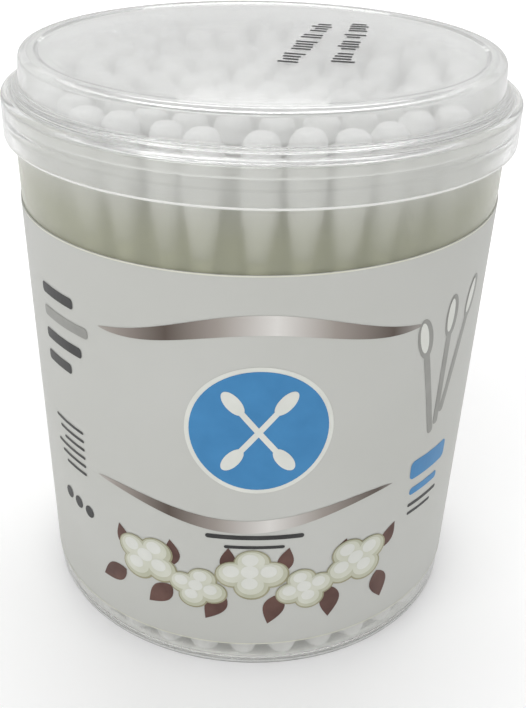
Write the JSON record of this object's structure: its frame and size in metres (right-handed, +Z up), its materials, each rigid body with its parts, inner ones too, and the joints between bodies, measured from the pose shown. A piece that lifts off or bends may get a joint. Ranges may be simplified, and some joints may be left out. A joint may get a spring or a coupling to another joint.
{
  "type": "cotton swab tub",
  "caption": "Round see-through tub of cotton swabs with a wrapped label and a press-fit lid that lifts off.",
  "frame": {"origin": "centre of the standing foot on the ground", "axes": "+Z up along the tub's axis, -Y towards the printed front of the label, +X to the right as seen from the front"},
  "size_m": [0.0676, 0.0676, 0.079],
  "materials": {
    "tub_plastic": "clear, slightly hazy moulded polypropylene",
    "lid_plastic": "hazy moulded polypropylene",
    "label_film": "semi-gloss printed film label",
    "cotton": "wound cotton, soft and matt",
    "stick": "rolled white paper stick"
  },
  "bodies": {
    "tub_body": {"tub": "tub_plastic", "label": "label_film", "swab_01": "cotton", "swab_02": "cotton", "swab_03": "cotton", "swab_04": "cotton", "swab_05": "cotton", "swab_06": "cotton", "swab_07": "cotton", "swab_08": "cotton", "swab_09": "cotton", "swab_10": "cotton", "swab_11": "cotton", "swab_12": "cotton", "swab_13": "cotton", "swab_14": "cotton", "swab_15": "cotton", "swab_16": "cotton", "swab_17": "cotton", "swab_18": "cotton", "swab_19": "cotton", "swab_20": "cotton", "swab_21": "cotton", "swab_22": "cotton", "swab_23": "cotton", "swab_24": "cotton", "swab_25": "cotton", "swab_26": "cotton", "swab_27": "cotton", "swab_28": "cotton", "swab_29": "cotton", "swab_30": "cotton", "swab_31": "cotton", "swab_32": "cotton", "swab_33": "cotton", "swab_34": "cotton", "swab_35": "cotton", "swab_36": "cotton", "swab_37": "cotton", "swab_38": "cotton", "swab_39": "cotton", "swab_40": "cotton", "swab_41": "cotton", "swab_42": "cotton", "swab_43": "cotton", "swab_44": "cotton", "swab_45": "cotton", "swab_46": "cotton", "swab_47": "cotton", "swab_48": "cotton", "swab_49": "cotton", "swab_50": "cotton", "swab_51": "cotton", "swab_52": "cotton", "swab_53": "cotton", "swab_54": "cotton", "swab_55": "cotton", "swab_56": "cotton", "inner_swabs": "cotton"},
    "lid_body": {"lid": "lid_plastic"}
  },
  "joints": [
    {"name": "lid_lift", "type": "slide", "parent": "tub_body", "child": "lid_body", "axis": [0, 0, 1], "range_m": [0, 0.06]}
  ]
}
